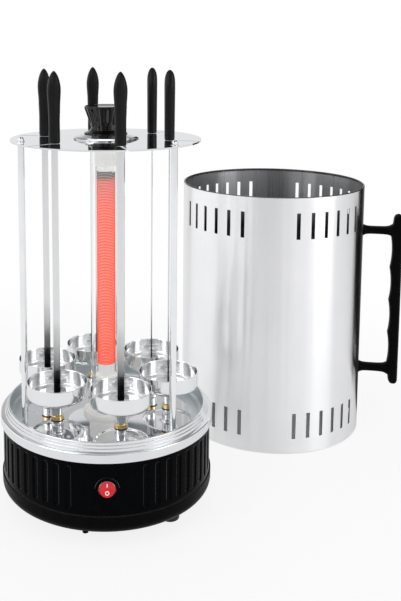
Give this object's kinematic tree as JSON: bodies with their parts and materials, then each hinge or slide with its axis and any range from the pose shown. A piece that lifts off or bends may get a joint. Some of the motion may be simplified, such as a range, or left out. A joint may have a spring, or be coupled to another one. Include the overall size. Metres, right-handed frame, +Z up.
{
  "type": "electric skewer grill",
  "caption": "Electric skewer grill: round fluted motor base, central glass heater, geared turning skewers over drip cups, top disc with knob, slotted steel cover beside it.",
  "frame": {"origin": "on the floor, on the grill's vertical axis, in the middle of the circle of feet", "axes": "+Z up, -Y towards the front with the switch, +X towards the side where the cover stands"},
  "size_m": [0.4708, 0.4018, 0.4448],
  "materials": {
    "black_plastic": "satin moulded",
    "black_gloss": "gloss",
    "grip_plastic": "satin moulded",
    "red_lens": "lit translucent gloss",
    "rubber": "matte",
    "chrome_steel": "polished",
    "mirror_steel": "mirror polished",
    "cover_steel": "polished",
    "cup_aluminium": "bright drawn",
    "spindle_steel": "turned",
    "blade_steel": "satin",
    "zinc_steel": "zinc plated",
    "brass": "turned",
    "nylon": "moulded",
    "clear_glass": "clear",
    "white_ceramic": "matt glazed",
    "glowing_wire": "wound resistance wire"
  },
  "bodies": {
    "base": {"base_housing": "black_plastic", "base_pan": "black_plastic", "terminal_block": "black_plastic", "knob": "black_gloss", "switch_housing": "black_gloss", "feet": "rubber", "inlet_gland": "rubber", "trim_ring": "chrome_steel", "support_rods": "chrome_steel", "rod_cap_nuts": "chrome_steel", "knob_rosette": "chrome_steel", "spindle_sleeves": "chrome_steel", "drip_plate": "mirror_steel", "top_disc": "mirror_steel", "case_screws": "zinc_steel", "rod_base_nuts": "zinc_steel", "motor": "zinc_steel", "brass_bushes": "brass", "gear_deck": "nylon", "heater_tube": "clear_glass", "heater_socket": "white_ceramic", "heater_top_cap": "white_ceramic", "heater_core": "white_ceramic", "heater_coil": "glowing_wire"},
    "rocker": {"switch_rocker": "red_lens"},
    "sun": {"sun_gear": "nylon"},
    "pinion": {"motor_pinion": "nylon"},
    "cover": {"cover_shell": "cover_steel", "cover_handle": "black_plastic", "cover_handle_screws": "zinc_steel"},
    "spindle_1": {"drive_gear_1": "nylon", "spindle_1": "spindle_steel", "drip_cup_1": "cup_aluminium"},
    "skewer_1": {"skewer_blade_1": "blade_steel", "skewer_handle_1": "grip_plastic"},
    "spindle_2": {"drive_gear_2": "nylon", "spindle_2": "spindle_steel", "drip_cup_2": "cup_aluminium"},
    "skewer_2": {"skewer_blade_2": "blade_steel", "skewer_handle_2": "grip_plastic"},
    "spindle_3": {"drive_gear_3": "nylon", "spindle_3": "spindle_steel", "drip_cup_3": "cup_aluminium"},
    "skewer_3": {"skewer_blade_3": "blade_steel", "skewer_handle_3": "grip_plastic"},
    "spindle_4": {"drive_gear_4": "nylon", "spindle_4": "spindle_steel", "drip_cup_4": "cup_aluminium"},
    "skewer_4": {"skewer_blade_4": "blade_steel", "skewer_handle_4": "grip_plastic"},
    "spindle_5": {"drive_gear_5": "nylon", "spindle_5": "spindle_steel", "drip_cup_5": "cup_aluminium"},
    "skewer_5": {"skewer_blade_5": "blade_steel", "skewer_handle_5": "grip_plastic"},
    "spindle_6": {"drive_gear_6": "nylon", "spindle_6": "spindle_steel", "drip_cup_6": "cup_aluminium"},
    "skewer_6": {"skewer_blade_6": "blade_steel", "skewer_handle_6": "grip_plastic"}
  },
  "joints": [
    {"name": "switch_rock", "type": "hinge", "parent": "base", "child": "rocker", "pos_m": [0, -0.1067, 0.059], "axis": [1, 0, 0], "range_deg": [0, 16]},
    {"name": "sun_spin", "type": "hinge", "parent": "base", "child": "sun", "pos_m": [0, 0, 0.07], "axis": [0, 0, 1], "continuous": true},
    {"name": "pinion_spin", "type": "hinge", "parent": "base", "child": "pinion", "pos_m": [0.05673, 0.01206, 0.07], "axis": [0, 0, 1], "continuous": true},
    {"name": "cover_lift", "type": "slide", "parent": "base", "child": "cover", "axis": [0, 0, 1], "range_m": [0, 0.46]},
    {"name": "spindle_spin_1", "type": "hinge", "parent": "base", "child": "spindle_1", "pos_m": [0.06277, -0.0204, 0.1], "axis": [0, 0, 1], "continuous": true},
    {"name": "skewer_lift_1", "type": "slide", "parent": "spindle_1", "child": "skewer_1", "axis": [0, 0, 1], "range_m": [0, 0.28]},
    {"name": "spindle_spin_2", "type": "hinge", "parent": "base", "child": "spindle_2", "pos_m": [0.04905, 0.04416, 0.1], "axis": [0, 0, 1], "continuous": true},
    {"name": "skewer_lift_2", "type": "slide", "parent": "spindle_2", "child": "skewer_2", "axis": [0, 0, 1], "range_m": [0, 0.28]},
    {"name": "spindle_spin_3", "type": "hinge", "parent": "base", "child": "spindle_3", "pos_m": [-0.01372, 0.06456, 0.1], "axis": [0, 0, 1], "continuous": true},
    {"name": "skewer_lift_3", "type": "slide", "parent": "spindle_3", "child": "skewer_3", "axis": [0, 0, 1], "range_m": [0, 0.28]},
    {"name": "spindle_spin_4", "type": "hinge", "parent": "base", "child": "spindle_4", "pos_m": [-0.06277, 0.0204, 0.1], "axis": [0, 0, 1], "continuous": true},
    {"name": "skewer_lift_4", "type": "slide", "parent": "spindle_4", "child": "skewer_4", "axis": [0, 0, 1], "range_m": [0, 0.28]},
    {"name": "spindle_spin_5", "type": "hinge", "parent": "base", "child": "spindle_5", "pos_m": [-0.04905, -0.04416, 0.1], "axis": [0, 0, 1], "continuous": true},
    {"name": "skewer_lift_5", "type": "slide", "parent": "spindle_5", "child": "skewer_5", "axis": [0, 0, 1], "range_m": [0, 0.28]},
    {"name": "spindle_spin_6", "type": "hinge", "parent": "base", "child": "spindle_6", "pos_m": [0.01372, -0.06456, 0.1], "axis": [0, 0, 1], "continuous": true},
    {"name": "skewer_lift_6", "type": "slide", "parent": "spindle_6", "child": "skewer_6", "axis": [0, 0, 1], "range_m": [0, 0.28]}
  ],
  "couplings": [
    {"joint": "pinion_spin", "follows": "sun_spin", "ratio": -4.8},
    {"joint": "spindle_spin_1", "follows": "sun_spin", "ratio": -2.6667},
    {"joint": "spindle_spin_2", "follows": "sun_spin", "ratio": -2.6667},
    {"joint": "spindle_spin_3", "follows": "sun_spin", "ratio": -2.6667},
    {"joint": "spindle_spin_4", "follows": "sun_spin", "ratio": -2.6667},
    {"joint": "spindle_spin_5", "follows": "sun_spin", "ratio": -2.6667},
    {"joint": "spindle_spin_6", "follows": "sun_spin", "ratio": -2.6667}
  ]
}
